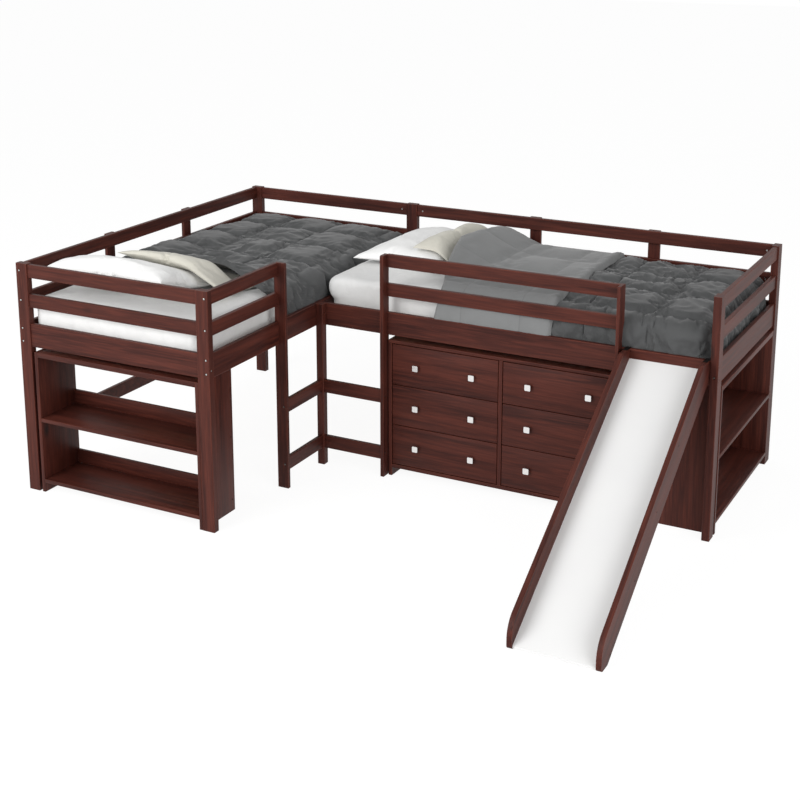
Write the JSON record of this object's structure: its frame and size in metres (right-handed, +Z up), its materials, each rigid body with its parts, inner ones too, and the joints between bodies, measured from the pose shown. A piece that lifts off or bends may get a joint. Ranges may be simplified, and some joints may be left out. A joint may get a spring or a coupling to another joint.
{
  "type": "loft bed",
  "caption": "L-shaped loft bed of stained pine with a corner ladder, a slide, a dresser with sliding drawers and bookcases under the beds",
  "frame": {"origin": "centre of the foot of the post in the outer corner of the L, on the floor", "axes": "+X along the long back wall towards the end with the slide, +Y from the front towards that wall, +Z up"},
  "size_m": [3.093, 2.3677, 1.13],
  "materials": {
    "stained_pine": "satin",
    "bare_pine": "matte",
    "zinc_steel": "satin",
    "knob_metal": "satin",
    "slide_face": "satin",
    "white_cotton": "matte",
    "grey_cotton": "matte"
  },
  "bodies": {
    "bed_frame": {"post_front_left": "stained_pine", "post_front_right": "stained_pine", "post_corner_outer": "stained_pine", "post_corner_inner": "stained_pine", "post_back_middle": "stained_pine", "post_right_front": "stained_pine", "post_right_back": "stained_pine", "ladder_post_left": "stained_pine", "ladder_post_right": "stained_pine", "gate_post": "stained_pine", "wall_uprights": "stained_pine", "front_end_rails": "stained_pine", "right_end_rails": "stained_pine", "left_side_guards": "stained_pine", "left_side_rail": "stained_pine", "right_side_guards": "stained_pine", "right_side_rail": "stained_pine", "left_wall_rails": "stained_pine", "back_left_rails": "stained_pine", "back_right_rails": "stained_pine", "wall_stretchers": "stained_pine", "ladder_rungs_left": "stained_pine", "ladder_rungs_right": "stained_pine", "slide_boards": "stained_pine", "dresser_side_panels": "stained_pine", "dresser_top": "stained_pine", "dresser_base": "stained_pine", "bookcase_front": "stained_pine", "bookcase_right": "stained_pine", "slat_ledgers": "bare_pine", "slats_left": "bare_pine", "slats_right": "bare_pine", "dresser_back": "bare_pine", "slide_battens": "stained_pine", "frame_bolts": "zinc_steel", "barrel_nuts": "zinc_steel", "slide_hooks": "zinc_steel", "dresser_runners": "zinc_steel", "slide_panel": "slide_face", "mattress_left": "white_cotton", "mattress_right": "white_cotton", "pillows_left": "white_cotton", "pillows_right": "white_cotton", "comforter_left": "grey_cotton", "comforter_right": "grey_cotton"},
    "drawer_body_left_top": {"drawer_left_top": "stained_pine", "knobs_left_top": "knob_metal"},
    "drawer_body_left_middle": {"drawer_left_middle": "stained_pine", "knobs_left_middle": "knob_metal"},
    "drawer_body_left_bottom": {"drawer_left_bottom": "stained_pine", "knobs_left_bottom": "knob_metal"},
    "drawer_body_right_top": {"drawer_right_top": "stained_pine", "knobs_right_top": "knob_metal"},
    "drawer_body_right_middle": {"drawer_right_middle": "stained_pine", "knobs_right_middle": "knob_metal"},
    "drawer_body_right_bottom": {"drawer_right_bottom": "stained_pine", "knobs_right_bottom": "knob_metal"}
  },
  "joints": [
    {"name": "slide_drawer_left_top", "type": "slide", "parent": "bed_frame", "child": "drawer_body_left_top", "axis": [0, -1, 0], "range_m": [0, 0.3]},
    {"name": "slide_drawer_left_middle", "type": "slide", "parent": "bed_frame", "child": "drawer_body_left_middle", "axis": [0, -1, 0], "range_m": [0, 0.3]},
    {"name": "slide_drawer_left_bottom", "type": "slide", "parent": "bed_frame", "child": "drawer_body_left_bottom", "axis": [0, -1, 0], "range_m": [0, 0.3]},
    {"name": "slide_drawer_right_top", "type": "slide", "parent": "bed_frame", "child": "drawer_body_right_top", "axis": [0, -1, 0], "range_m": [0, 0.3]},
    {"name": "slide_drawer_right_middle", "type": "slide", "parent": "bed_frame", "child": "drawer_body_right_middle", "axis": [0, -1, 0], "range_m": [0, 0.3]},
    {"name": "slide_drawer_right_bottom", "type": "slide", "parent": "bed_frame", "child": "drawer_body_right_bottom", "axis": [0, -1, 0], "range_m": [0, 0.3]}
  ]
}
